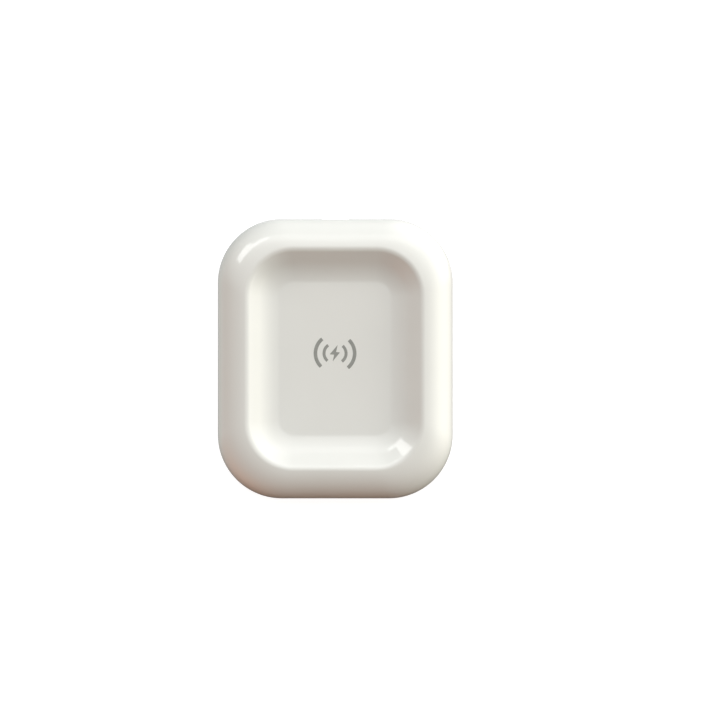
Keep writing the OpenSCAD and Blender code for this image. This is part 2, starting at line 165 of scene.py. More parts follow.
def skin_loops(bm, loops, ring=False):
    """Joins loops of equally many points with faces, and closes both ends, or joins them in a ring."""
    rows = [[bm.verts.new(p) for p in loop] for loop in loops]
    count = len(rows[0])
    for a, b in zip(rows, rows[1:] + rows[:1] if ring else rows[1:]):
        for i in range(count):
            j = (i + 1) % count
            bm.faces.new((a[i], b[i], b[j], a[j]))
    if not ring:
        bm.faces.new(rows[0])
        bm.faces.new(list(reversed(rows[-1])))


def circle(radius, z, steps, x=0.0, y=0.0):
    turns = [2 * pi * k / steps for k in range(steps)]
    return [(x + radius * cos(a), y + radius * sin(a), z) for a in turns]


def at(x, y, z=0.0):
    return Matrix.Translation((x, y, z))


def centred(low, high):
    """The middle of a box, and half its size."""
    return (low + high) / 2, (high - low) / 2


def measure(node):
    """A CAD node's lowest and highest corner, its middle and half its size."""
    low, high = box_mm(node)
    return low, high, *centred(low, high)


def loft(bm, sections, middle=Vector(), **steps):
    """A closed skin through rounded rectangles, each (half width, half depth, corner radius, height)."""
    skin_loops(bm, [[(middle.x + x, middle.y + y, z) for x, y in rounded_loop(hx, hy, r, **steps)]
                    for hx, hy, r, z in sections])


def lofted(name, sections, middle=Vector(), **steps):
    bm = bmesh.new()
    loft(bm, sections, middle, **steps)
    return add_object(name, bm)


def softened_sheet(name, low, high, corner_r, edge, corner_steps):
    """A flat sheet that fills a box, with rounded corners and softened edges."""
    middle, half = centred(low, high)
    plan = ((edge, low.z), (0, low.z + edge), (0, high.z - edge), (edge, high.z))
    sections = [(half.x - inset, half.y - inset, corner_r - inset, z) for inset, z in plan]
    return lofted(name, sections, middle, corner_steps=corner_steps)


def loft_slots(bm, sections, x=0.0, z=0.0):
    """A closed skin through slots, each (half width, half height, place along Y)."""
    skin_loops(bm, [[(x + px, y, z + pz) for px, pz in stadium_loop(hx, hz)]
                    for hx, hz, y in sections])


def lathe(bm, profile, steps=64, place=Matrix()):
    """A closed solid turned about Z from a profile of (radius, height) that starts and ends on the axis."""
    first = bm.verts.new(place @ Vector((0, 0, profile[0][1])))
    last = bm.verts.new(place @ Vector((0, 0, profile[-1][1])))
    rows = [[bm.verts.new(place @ Vector(p)) for p in circle(radius, z, steps)]
            for radius, z in profile[1:-1]]
    for i in range(steps):
        j = (i + 1) % steps
        bm.faces.new((first, rows[0][j], rows[0][i]))
        bm.faces.new((last, rows[-1][i], rows[-1][j]))
        for a, b in zip(rows, rows[1:]):
            bm.faces.new((a[i], a[j], b[j], b[i]))


def cylinder(bm, radius, low, high, x=0.0, y=0.0, steps=64):
    lathe(bm, [(0, low), (radius, low), (radius, high), (0, high)], steps, at(x, y))


def bevelled_box(bm, low, high, edge, steps=2):
    """A box whose edges are rounded."""
    middle, half = centred(Vector(low), Vector(high))
    made = bmesh.ops.create_cube(bm, size=2, matrix=Matrix.LocRotScale(middle, None, half))
    edges = {e for v in made["verts"] for e in v.link_edges}
    bmesh.ops.bevel(bm, geom=list(edges), offset=edge, segments=steps, profile=0.5, affect="EDGES")


def combine(obj, tool, operation):
    """Joins the tool object to obj, or cuts it out of obj, and removes the tool."""
    step = obj.modifiers.new(operation.lower(), "BOOLEAN")
    step.object = tool
    step.operation = operation
    step.solver = "MANIFOLD"
    graph = bpy.context.evaluated_depsgraph_get()
    mesh = bpy.data.meshes.new_from_object(obj.evaluated_get(graph))
    obj.modifiers.clear()
    obj.data = mesh
    bpy.data.objects.remove(tool)


def cut(obj, tool_bm):
    combine(obj, add_object(obj.name + "_cut", tool_bm), "DIFFERENCE")


def show(obj, slot, *nodes):
    """Gives a piece its finish and rides it on the one body, in place of the CAD nodes it stands for."""
    obj.data.materials.clear()
    obj.data.materials.append(finish(slot))
    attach(obj, "root")
    if nodes:
        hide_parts(*nodes)


def show_new(name, bm, slot, *nodes, sharp=35):
    show(add_object(name, bm, sharp), slot, *nodes)


def solids_of(node):
    """The boxes of a CAD node's separate solids, in millimetres, as (lowest corner, highest corner)."""
    bm = bmesh.new()
    bm.from_mesh(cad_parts[node].data)
    boxes = []
    waiting = set(bm.faces)
    while waiting:
        patch, edge = set(), [waiting.pop()]
        while edge:
            face = edge.pop()
            patch.add(face)
            near = {f for v in face.verts for f in v.link_faces} & waiting
            waiting -= near
            edge += near
        points = [v.co / MM for f in patch for v in f.verts]
        boxes.append((Vector(map(min, *points)), Vector(map(max, *points))))
    bm.free()
    return sorted(merge_boxes(boxes), key=lambda box: tuple(round(c, 2) for c in box[0]))


def merge_boxes(boxes, slack=0.01):
    """Joins boxes that touch, until none do."""
    merged = []
    for low, high in boxes:
        apart = []
        for a, b in merged:
            if all(low[k] <= b[k] + slack and a[k] <= high[k] + slack for k in range(3)):
                low, high = Vector(map(min, low, a)), Vector(map(max, high, b))
            else:
                apart.append((a, b))
        merged = apart + [(low, high)]
    return merged if len(merged) == len(boxes) else merge_boxes(merged, slack)


def smooth_route(points, steps=8):
    """A Catmull-Rom curve through a wire's points, as the CAD wires have."""
    route = [Vector(p) for p in points]
    ends = [route[0]] + route + [route[-1]]
    path = []
    for a, b, c, d in zip(ends, ends[1:], ends[2:], ends[3:]):
        for t in span(0, 1, steps)[:-1]:
            path.append(0.5 * (2 * b + (c - a) * t + (2 * a - 5 * b + 4 * c - d) * t * t
                               + (3 * b - a - 3 * c + d) * t ** 3))
    return path + [route[-1]]


def sweep(bm, path, radius, up=(0, 0, 1), lay=5.0, depth=0.08, sides=14):
    """A twisted wire along a path: its strands show as ribs that turn once in each lay length."""
    loops, run, before = [], 0.0, path[0]
    for i, point in enumerate(path):
        run += (point - before).length
        before = point
        ahead = (path[min(i + 1, len(path) - 1)] - path[max(i - 1, 0)]).normalized()
        across = ahead.cross(Vector(up)).normalized()
        over = across.cross(ahead)
        twist = 2 * pi * run / lay
        ring = []
        for k in range(sides):
            turn = 2 * pi * k / sides
            reach = radius * (1 - depth + depth * cos(STRANDS * (turn - twist)))
            ring.append(point + across * reach * cos(turn) + over * reach * sin(turn))
        loops.append(ring)
    skin_loops(bm, loops)


# ---- Materials ----

def new_material(name, **values):
    """A Principled material, with the given numbers and colours set on its own sockets."""
    material = bpy.data.materials.new(name)
    material.use_nodes = True
    shader = material.node_tree.nodes["Principled BSDF"]
    for socket, value in values.items():
        shader.inputs[socket.replace("_", " ")].default_value = value
    return material


def add_node(owner, kind, links=(), values=None, **settings):
    """A shader node in a material or world. A link is (input, other node, its output)."""
    node = owner.node_tree.nodes.new("ShaderNode" + kind)
    for key, value in settings.items():
        setattr(node, key, value)
    for key, value in (values or {}).items():
        node.inputs[key].default_value = value
    for key, other, output in links:
        owner.node_tree.links.new(other.outputs[output], node.inputs[key])
    return node


def link(material, node, output, socket):
    shader = material.node_tree.nodes["Principled BSDF"]
    material.node_tree.links.new(node.outputs[output], shader.inputs[socket])


def pattern(material, kind, values, **settings):
    """A texture in the object's own space."""
    place = add_node(material, "TexCoord")
    return add_node(material, kind, [("Vector", place, "Object")], values, **settings)


def noise(material, scale, detail=3, rough=0.5):
    """Noise, scale in ripples a metre."""
    return pattern(material, "TexNoise", {"Scale": scale, "Detail": detail, "Roughness": rough})


def cells(material, scale):
    """Voronoi cells, scale in cells a metre."""
    return pattern(material, "TexVoronoi", {"Scale": scale})


def bands(material, scale, axis, distortion=0.0):
    """Straight bands across one axis, scale in bands a metre or so."""
    return pattern(material, "TexWave", {"Scale": scale, "Distortion": distortion},
                   bands_direction=axis)


def tint(material, source, output, dark, light, low=0.3, high=0.7):
    """Runs a pattern through two close colours into the base colour."""
    ramp = add_node(material, "ValToRGB", [("Fac", source, output)])
    for stop, place, colour in zip(ramp.color_ramp.elements, (low, high), (dark, light)):
        stop.position = place
        stop.color = (*colour, 1)
    link(material, ramp, "Color", "Base Color")


def vary_roughness(material, source, low, high, output="Fac"):
    spread = add_node(material, "MapRange", [("Value", source, output)],
                      {"To Min": low, "To Max": high})
    link(material, spread, "Result", "Roughness")


def add_bump(material, source, output, height, strength=1.0):
    """Bump whose height is in micrometres."""
    bump = add_node(material, "Bump", [("Height", source, output)],
                    {"Strength": strength, "Distance": height / 1e6})
    link(material, bump, "Normal", "Normal")


def mottled(name, dark, light, rough, mottle, grain=0, height=0, values=None):
    """A surface with a slow drift of colour and roughness, and a fine grain of some height."""
    material = new_material(name, **(values or {}))
    drift = noise(material, mottle, detail=2)
    tint(material, drift, "Fac", dark, light)
    vary_roughness(material, drift, *rough)
    if grain:
        add_bump(material, noise(material, grain, detail=4), "Fac", height)
    return material


# Each plain finish: its darker and lighter colour, its least and most roughness, the scales of its
# mottle and its grain in ripples a metre, the grain's height in micrometres, and other shader inputs
PLAIN_FINISHES = {
    "gloss_white": ((0.83, 0.825, 0.81), (0.85, 0.845, 0.83), (0.09, 0.14), 40, 900, 4,
                    dict(IOR=1.5, Coat_Weight=0.35, Coat_Roughness=0.04)),
    # Spark-eroded plastic: the same white, but matt
    "satin_white": ((0.80, 0.795, 0.77), (0.84, 0.835, 0.81), (0.42, 0.52), 60, 4200, 20, dict(IOR=1.5)),
    "grey_ink": ((0.300, 0.303, 0.288), (0.340, 0.343, 0.328), (0.30, 0.40), 700, 9000, 4, dict(IOR=1.5)),
    "silicone": ((0.60, 0.60, 0.58), (0.66, 0.66, 0.64), (0.55, 0.68), 150, 2600, 10,
                 dict(IOR=1.42, Sheen_Weight=0.15)),
    # Bright zinc plate with a faint yellow passivation bloom
    "zinc_steel": ((0.50, 0.50, 0.48), (0.64, 0.63, 0.56), (0.24, 0.40), 900, 6000, 4, dict(Metallic=1.0)),
    "clear_resin": ((0.86, 0.90, 0.93), (0.92, 0.95, 0.97), (0.08, 0.16), 600, 1500, 3,
                    dict(IOR=1.49, Transmission_Weight=0.75)),
    # Amber polyimide film with adhesive mottle behind it
    "adhesive_film": ((0.45, 0.23, 0.035), (0.62, 0.35, 0.07), (0.16, 0.30), 350, 1200, 6,
                      dict(IOR=1.6, Coat_Weight=0.3)),
    "epoxy_bead": ((0.030, 0.045, 0.10), (0.050, 0.070, 0.15), (0.12, 0.24), 900, 2200, 10,
                   dict(Coat_Weight=0.4)),
    "red_insulation": ((0.42, 0.018, 0.014), (0.55, 0.035, 0.025), (0.32, 0.46), 500, 4000, 10),
    "black_resin": ((0.012, 0.012, 0.013), (0.022, 0.022, 0.023), (0.34, 0.48), 700, 5200, 10),
    "gold_plate": ((0.80, 0.52, 0.16), (0.92, 0.66, 0.26), (0.16, 0.30), 1500, 6000, 3, dict(Metallic=1.0)),
    # Moulded packages, with the dull grain of filled epoxy
    "black_epoxy": ((0.016, 0.016, 0.017), (0.032, 0.032, 0.034), (0.52, 0.70), 1200, 9000, 20),
    "tan_ceramic": ((0.33, 0.20, 0.105), (0.42, 0.27, 0.15), (0.34, 0.50), 1300, 7000, 10),
    "lamp_resin": ((0.80, 0.78, 0.55), (0.88, 0.86, 0.66), (0.18, 0.30), 1500, 3000, 10,
                   dict(Transmission_Weight=0.3)),
    "solder": ((0.56, 0.57, 0.58), (0.74, 0.75, 0.76), (0.16, 0.36), 1400, 3500, 20, dict(Metallic=1.0)),
}


def copper_litz():
    """Fine enamelled strands: bright and dark copper streaks over the ribs of the mesh."""
    material = new_material("copper_litz", Metallic=1.0)
    strands = noise(material, 5200, detail=2, rough=0.7)
    tint(material, strands, "Fac", (0.42, 0.13, 0.045), (0.86, 0.42, 0.20), 0.32, 0.66)
    vary_roughness(material, strands, 0.22, 0.42)
    add_bump(material, noise(material, 9000, detail=1), "Fac", 30)
    return material


def ferrite():
    """Sintered ferrite: charcoal grey, with fine pores."""
    material = mottled("ferrite", (0.030, 0.030, 0.032), (0.055, 0.054, 0.053), (0.38, 0.60), 500)
    add_bump(material, cells(material, 1800), "Distance", 30, 0.6)
    return material


def black_foam():
    """Fine foam: its pores are sunk cells between thin walls, with painted shade that darkens each pore
    towards its sunk middle.
    """
    material = new_material("black_foam", Sheen_Weight=0.3, IOR=1.45)
    pores = cells(material, 2400)
    # Painted shade: each pore's colour goes darker towards its sunk middle and lighter on the walls between
    # pores.
    tint(material, pores, "Distance", (0.010, 0.011, 0.012), (0.055, 0.058, 0.060), 0.15, 0.65)
    vary_roughness(material, pores, 0.80, 0.96, "Distance")
    add_bump(material, pores, "Distance", 200)
    return material


def green_laminate():
    """Solder mask over a woven laminate: the weave shows through as a faint grid."""
    material = new_material("green_laminate", IOR=1.52, Coat_Weight=0.5, Coat_Roughness=0.12)
    drift = noise(material, 120)
    tint(material, drift, "Fac", (0.008, 0.095, 0.040), (0.014, 0.150, 0.060))
    vary_roughness(material, drift, 0.26, 0.40)
    warp, weft = bands(material, 420, "X"), bands(material, 420, "Y")
    weave = add_node(material, "Math", [(0, warp, "Fac"), (1, weft, "Fac")], operation="MULTIPLY")
    add_bump(material, weave, "Value", 20)
    return material


def bright_steel():
    """Stamped, nickel-plated steel with faint drawing lines along its length."""
    material = new_material("bright_steel", Metallic=1.0)
    lines = bands(material, 2600, "X", 4.0)
    tint(material, lines, "Fac", (0.58, 0.58, 0.57), (0.72, 0.72, 0.70), 0.1, 0.9)
    vary_roughness(material, noise(material, 500), 0.18, 0.34)
    add_bump(material, lines, "Fac", 3)
    return material


OTHER_FINISHES = {"copper_litz": copper_litz, "ferrite": ferrite, "black_foam": black_foam,
                  "green_laminate": green_laminate, "bright_steel": bright_steel}
made = {}


def finish(slot):
    """The material of a slot, made when it is first asked for."""
    if slot not in made:
        plain = PLAIN_FINISHES.get(slot)
        made[slot] = mottled(slot, *plain) if plain else OTHER_FINISHES[slot]()
    return made[slot]


# ---- The top housing ----

def plan_between(inner, outer, share):
    return tuple(a + (b - a) * share for a, b in zip(inner, outer))


def recess_sections():
    """From the flat floor up the dished wall, straight in its upper part, to the crest of the ridge."""
    run = CREST[0] - FLOOR[0]
    wall_run = run - RIDGE_R * sin(WALL_SLOPE)
    wall_rise = TOP_Z - FLOOR_Z - RIDGE_R * (1 - cos(WALL_SLOPE))
    # The radius with which the dish and the straight wall together reach the ridge
    across = sin(WALL_SLOPE) - sin(FOOT_SLOPE)
    upward = cos(FOOT_SLOPE) - cos(WALL_SLOPE)
    dish_r = (wall_run * tan(WALL_SLOPE) - wall_rise) / (across * tan(WALL_SLOPE) - upward)
    dish = [(dish_r * (sin(slope) - sin(FOOT_SLOPE)), dish_r * (cos(FOOT_SLOPE) - cos(slope)))
            for slope in span(CREASE_SLOPE, WALL_SLOPE, 24)]
    # A short parabola softens the crease between floor and dish
    along, rise = dish[0]
    reach = rise / tan(CREASE_SLOPE)
    points = [(along - 2 * reach * (1 - t), rise * t * t) for t in span(0, 1, 8)[:-1]]
    points += dish
    bend_run, bend_rise = dish[-1]
    points += [(bend_run + (wall_run - bend_run) * t, bend_rise + (wall_rise - bend_rise) * t)
               for t in span(0, 1, 6)[1:-1]]
    points += [(run - RIDGE_R * sin(slope), TOP_Z - FLOOR_Z - RIDGE_R * (1 - cos(slope)))
               for slope in span(WALL_SLOPE, 0, 12)]
    return [(*plan_between(FLOOR, CREST, along / run), FLOOR_Z + rise) for along, rise in points]


def outer_plan(inset):
    return (OUT_X - inset, OUT_Y - inset, CORNER_R - inset)


def rim_sections():
    """From the crest over a short shoulder and the rim to the widest line, and in to the lower lip."""
    sections = []
    for slope in span(0, SHOULDER, 4)[1:]:
        plan = plan_between(CREST, outer_plan(0), RIDGE_R * sin(slope) / RIM_R)
        sections.append((*plan, TOP_Z - RIDGE_R * (1 - cos(slope))))
    share = RIDGE_R * sin(SHOULDER) / RIM_R
    drop = RIM_R - RIDGE_R * (1 - cos(SHOULDER))
    steep = tan(SHOULDER) * (1 - share) * RIM_R / drop
    start = asin(steep / (1 - steep))
    for turn in span(start, pi / 2, 38)[1:]:
        out = (sin(turn) - sin(start)) / (1 - sin(start))
        plan = plan_between(CREST, outer_plan(0), share + (1 - share) * out)
        sections.append((*plan, WIDE_Z + drop * cos(turn) / cos(start)))
    lip = 0.25
    last = asin((WIDE_Z - BASE_Z - lip) / TUCK_R)
    for turn in span(0, last, 14)[1:]:
        sections.append((*outer_plan(TUCK_R * (1 - cos(turn))), WIDE_Z - TUCK_R * sin(turn)))
    edge = TUCK_R * (1 - cos(last))
    for turn in span(0, pi / 2, 4)[1:]:
        sections.append((*outer_plan(edge + lip * (1 - cos(turn)) + 0.08 * sin(turn)),
                         BASE_Z + lip * (1 - sin(turn))))
    return sections


def hollow_sections():
    """Up the inside from below the lip, over the ceiling and down under the dish."""
    lip = 0.15
    sections = [(*outer_plan(SKIN - 2 * lip), BASE_Z - lip), (*outer_plan(SKIN), BASE_Z + lip)]
    sections += [(*outer_plan(SKIN), z) for z in span(BASE_Z + 2 * lip, WIDE_Z, 3)]
    for turn in span(0, pi / 2, 14)[1:]:
        inset = RIM_R - (RIM_R - SKIN) * cos(turn)
        sections.append((*outer_plan(inset), WIDE_Z + (RIM_R - SKIN) * sin(turn)))
    # Round the outside of the dished wall: an arc of radius under_r on a rounded rectangle whose
    # straight sides end at dish_x and dish_y, and whose corners have the radius corner_r
    dish_x, dish_y, under_r, corner_r = 12.9, 19.9, 17.67, 2.39
    foot = radians(8.6)
    centre_z = UNDER_Z + under_r * cos(foot)
    top = acos((centre_z - CEILING_Z) / under_r)
    for turn in span(top, foot, 16):
        r = corner_r + under_r * sin(turn)
        sections.append((dish_x + r, dish_y + r, r, centre_z - under_r * cos(turn)))
    return sections


def boss(bm, radius, low, x, y):
    """A screw boss with a chamfered end, which spreads at its root."""
    root = CEILING_Z - 0.8
    foot_r = radius + 0.8
    lathe(bm, [(0, low), (radius - 0.2, low), (radius, low + 0.2), (radius, root),
               (radius + 0.25, root + 0.55), (foot_r, CEILING_Z), (foot_r, TOP_Z), (0, TOP_Z)],
          place=at(x, y))


def hollow():
    space = lofted("hollow", hollow_sections())
    bm = bmesh.new()
    for x, y in CORNERS:
        boss(bm, 2.8, BOSS_Z, x, y)
    for x, y in BOARD_SCREWS:
        boss(bm, 2.2, BOARD_TOP, x, y)
    cut(space, bm)
    return space


def wall_opening(bm, low, high, gap, flare):
    """An opening in the rear wall round a piece's box, with a mouth that flares outwards."""
    middle, half = centred(low, high)
    half_x, half_z = half.x + gap, half.z + gap
    sections = [(0, OUT_Y - 3.2)] + [(grow, OUT_Y + y) for grow, y in flare]
    loft_slots(bm, [(half_x + grow, half_z + grow, y) for grow, y in sections], middle.x, middle.z)


def housing_cuts():
    """The screws' pilot holes, the slot of the inlet and the hole of the light pipe."""
    bm = bmesh.new()
    for x, y in CORNERS:
        cylinder(bm, 1.11, BOSS_Z - 1, BOSS_Z + 5.8, x, y, 32)
    for x, y in BOARD_SCREWS:
        cylinder(bm, 0.91, BOARD_TOP - 1, BOARD_TOP + 4.4, x, y, 32)
    wall_opening(bm, usb_low, usb_high, 0.2, ((0, -0.45), (0.12, -0.2), (0.5, 0.3)))
    # A slot has to be a little wider than it is high
    pin = Vector((PIN_R + 0.001, 0, PIN_R))
    centre = (lamp_low + lamp_high) / 2
    wall_opening(bm, centre - pin, centre + pin, 0.02, ((0, -0.3), (0.2, -0.05), (0.5, 0.3)))
    return bm


def make_housing_top():
    obj = lofted("housing_top", recess_sections() + rim_sections())
    combine(obj, hollow(), "DIFFERENCE")
    cut(obj, housing_cuts())
    sharpen(obj)
    show(obj, "gloss_white", "top_shell")


# ---- The base ----

def base_sections():
    """Up the outside of the base plate, over its locating lip and down to the inner face."""
    corner_r, lip = 18.3, 1.2
    plan = [(0.45, BASE_Z), (0.12, BASE_Z + 0.1), (0, BASE_Z + 0.4), (0, base_high.z - 0.15),
            (0.12, base_high.z), (lip - 0.12, base_high.z), (lip, base_high.z - 0.12),
            (lip, PLATE_Z + 0.25), (lip + 0.08, PLATE_Z + 0.08), (lip + 0.25, PLATE_Z)]
    return [(base_high.x - inset, base_high.y - inset, corner_r - inset, z) for inset, z in plan]


def base_bosses():
    bm = bmesh.new()
    for x, y in CORNERS:
        lathe(bm, [(0, PLATE_Z - 0.5), (4.2, PLATE_Z - 0.5), (4.0, PLATE_Z), (3.62, PLATE_Z + 0.12),
                   (3.5, PLATE_Z + 0.4), (3.5, BOSS_Z - 0.15), (3.35, BOSS_Z), (0, BOSS_Z)],
              place=at(x, y))
    return bm


def base_cuts():
    """The feet's pockets, the screws' bores and a shallow blank panel in the middle."""
    bm = bmesh.new()
    seat = BASE_Z + 2.0
    for x, y in CORNERS:
        lathe(bm, [(0, BASE_Z - 1), (5.3, BASE_Z - 1), (5.3, BASE_Z - 0.1), (5.1, BASE_Z + 0.1),
                   (5.1, BASE_Z + 0.5), (2.3, BASE_Z + 0.5), (2.2, BASE_Z + 0.6), (2.2, seat),
                   (1.2, seat), (1.2, BOSS_Z + 1), (0, BOSS_Z + 1)],
              place=at(x, y))
    panel_x, panel_y, panel_r = 18, 11, 2
    loft(bm, [(panel_x + grow, panel_y + grow, panel_r + grow, BASE_Z + z)
              for grow, z in ((0.3, -1), (0.15, 0), (0, 0.15), (0, 0.25), (-0.1, 0.3))], corner_steps=10)
    return bm


def make_housing_base():
    obj = lofted("housing_base", base_sections(), corner_steps=32)
    combine(obj, add_object("base_bosses", base_bosses()), "UNION")
    cut(obj, base_cuts())
    sharpen(obj, 22)
    show(obj, "satin_white", "base_cover")


# ---- The printed symbol ----

def bend(start, corner, end, steps=5):
    """A short curve that rounds off one corner."""
    return [start * (1 - t) ** 2 + corner * 2 * t * (1 - t) + end * t * t
            for t in span(0, 1, steps)]


def polar(radius, angle):
    return Vector((radius * cos(angle), radius * sin(angle)))


def arc_outline(radius, half_angle, width, offset=0.35, corner=0.16):
    """One arc of the symbol, open towards the middle, its four corners slightly rounded."""
    half = radians(half_angle)
    outline = []
    for reach, first, last, side in ((radius + width / 2, -half, half, -1),
                                     (radius - width / 2, half, -half, 1)):
        trim = copysign(corner / reach, last - first)
        inner = reach + side * corner
        outline += bend(polar(inner, first), polar(reach, first), polar(reach, first + trim))
        outline += [polar(reach, a) for a in span(first + trim, last - trim, 28)[1:-1]]
        outline += bend(polar(reach, last - trim), polar(reach, last), polar(inner, last))
    return [point + Vector((offset, 0)) for point in outline]


def bolt_outline(size, corner=0.14):
    shape = [Vector(p) * size for p in ((0.125, 0.465), (-0.285, -0.065), (-0.045, -0.075),
                                        (-0.105, -0.44), (0.265, 0.065), (0.05, 0.072))]
    outline = []
    for before, point, after in zip(shape[-1:] + shape, shape, shape[1:] + shape[:1]):
        outline += bend(point + (before - point).normalized() * corner, point,
                        point + (after - point).normalized() * corner)
    return outline


def print_film(bm, outline, place):
    """Lays one outline of ink on the floor, with its upper edge drawn in slightly."""
    loops = []
    for inset, z in ((0, FLOOR_Z - 0.03), (0, FLOOR_Z + 0.01), (0.005, FLOOR_Z + 0.015)):
        ring = []
        for i, point in enumerate(outline):
            along = outline[(i + 1) % len(outline)] - outline[i - 1]
            inward = Vector((-along.y, along.x)).normalized()
            ring.append(place @ Vector((*(point + inward * inset), z)))
        loops.append(ring)
    skin_loops(bm, loops)


def make_symbol():
    """A bolt between two pairs of arcs, a little behind the middle and turned a little clockwise."""
    size = 5.92
    middle = at(0, 1.7) @ Matrix.Rotation(radians(-2.5), 4, "Z")
    bm = bmesh.new()
    for turn in (0, pi):
        place = middle @ Matrix.Rotation(turn, 4, "Z")
        print_film(bm, arc_outline(size, 48.5, 1.15), place)
        print_film(bm, arc_outline(0.535 * size, 52, 0.95), place)
    print_film(bm, bolt_outline(size), middle)
    show_new("symbol_ink", bm, "grey_ink", "charge_icon", sharp=15)


# ---- Feet, screws and light pipe ----

def make_feet():
    """Four soft discs, each with a rounded edge and rings of fine grooves on its sole."""
    for node in [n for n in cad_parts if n.startswith("foot_")]:
        _, high, middle, half = measure(node)
        radius, top, edge = half.x, high.z, 0.3
        profile = [(0, 0.12), (0.9, 0.12), (1.05, 0)]
        for ring in (1.9, 2.9, 3.9):
            profile += [(ring - 0.15, 0), (ring - 0.06, 0.1), (ring + 0.06, 0.1), (ring + 0.15, 0)]
        profile += [(radius - edge + edge * sin(a), edge - edge * cos(a))
                    for a in span(0, pi / 2, 6)]
        profile += [(radius, top - 0.1), (radius - 0.1, top), (0, top)]
        bm = bmesh.new()
        lathe(bm, profile, 96, at(middle.x, middle.y))
        show_new(node.replace("foot", "foot_pad"), bm, "silicone", node)


def head_profile(radius, thick):
    """A pan head from its top face, below, to its seat at height 0."""
    edge = min(0.45, thick * 0.4)
    profile = [(0.05, -thick), (radius * 0.55, -thick), (radius * 0.78, -thick + 0.07 * thick)]
    profile += [(radius - edge + edge * sin(a), -edge - (thick - edge) * 0.72 * cos(a))
                for a in span(radians(35), pi / 2, 5)]
    return profile + [(radius, -0.08), (radius - 0.08, 0)]


def screw(bm, place, head_r, thick, shank_r, length, pitch, steps=40):
    """A pan-head thread-forming screw, pointing up from its seat at height 0."""
    rows = head_profile(head_r, thick) + [(shank_r * 0.86, 0), (shank_r * 0.84, 0.3)]
    loops = [circle(r, z, steps) for r, z in rows]
    rise = pitch / 8
    tip = length + shank_r
    for i in range(1, int((tip - 0.35) / rise)):
        z = 0.3 + i * rise
        taper = min(1.0, (tip - z) / (tip - length + 0.4) * 0.8 + 0.2)
        start = min(1.0, i / 8)
        ring = []
        for x, y, _ in circle(1, 0, steps):
            phase = (z / pitch - len(ring) / steps) % 1.0
            crest = max(0.0, 1 - abs(phase - 0.5) / 0.28) * start
            reach = shank_r * taper * (0.80 + 0.20 * crest)
            ring.append((reach * x, reach * y, z))
        loops.append(ring)
    skin_loops(bm, [[place @ Vector(p) for p in ring] for ring in loops])


def recess_arm(bm, place, size, low, depth):
    """One arm of a cross recess, which narrows with depth."""
    loops = []
    for share, z in ((1.15, low - 0.2), (1.0, low), (0.35, low + depth)):
        half_x, half_y = size * share, size * (0.20 + 0.04 * share)
        loops.append([place @ Vector((sx * half_x, sy * half_y, z)) for sx, sy in QUARTERS])
    skin_loops(bm, loops)


def make_screws(name, node, head_r, thick, shank_r, pitch):
    bm, places = bmesh.new(), []
    for low, high in solids_of(node):
        middle = (low + high) / 2
        places.append(at(middle.x, middle.y, low.z + thick))
        screw(bm, places[-1], head_r, thick, shank_r, high.z - low.z - thick - shank_r, pitch)
    obj = add_object(name, bm)
    for turn in (0, pi / 2):
        bm = bmesh.new()
        for place in places:
            recess_arm(bm, place @ Matrix.Rotation(turn, 4, "Z"), head_r * 0.56, -thick, thick * 0.6)
        cut(obj, bm)
    sharpen(obj, 40)
    show(obj, "zinc_steel", node)


def make_light_pin():
    """A light pipe: a flange inside the wall and a domed face just under the outer surface."""
    centre, half = centred(lamp_low, lamp_high)
    flange_r, flange_t, length, dome = half.x, 0.35, 2 * half.y, 0.22
    profile = [(0, 0), (flange_r - 0.08, 0), (flange_r, 0.08), (flange_r, flange_t - 0.05),
               (flange_r - 0.05, flange_t), (PIN_R, flange_t), (PIN_R, length - dome)]
    profile += [(PIN_R * cos(a), length - dome + dome * sin(a))
                for a in span(0.2, 1.3, 5)] + [(0, length)]
    bm = bmesh.new()
    lathe(bm, profile, 48, at(centre.x, lamp_low.y, centre.z) @ Matrix.Rotation(-pi / 2, 4, "X"))
    show_new("light_pin", bm, "clear_resin", "light_pipe")


# ---- The inlet ----

def make_inlet_shell(middle, half, wall):
    """A drawn shell with a rolled lip, and two latch windows in its roof and in its floor."""
    back, mouth = usb_low.y, usb_high.y
    outer = [(0.2, back), (0.05, back + 0.05), (0, back + 0.2), (0, mouth - 0.15),
             (0.04, mouth - 0.04), (0.15, mouth), (wall - 0.05, mouth - 0.05),
             (wall, mouth - 0.25), (wall, back + wall)]
    bm = bmesh.new()
    loft_slots(bm, [(half.x - inset, half.z - inset, y) for inset, y in outer], z=middle.z)
    shell = add_object("inlet_shell", bm)
    bm = bmesh.new()
    for x in (-2.4, 2.4):
        for low_z, high_z in ((usb_high.z - wall - 0.1, usb_high.z + 0.1),
                              (usb_low.z - 0.1, usb_low.z + wall + 0.1)):
            bevelled_box(bm, (x - 0.55, back + 3.2, low_z), (x + 0.55, back + 4.8, high_z), 0.05)
    cut(shell, bm)
    sharpen(shell)
    show(shell, "bright_steel", "usb_shell")


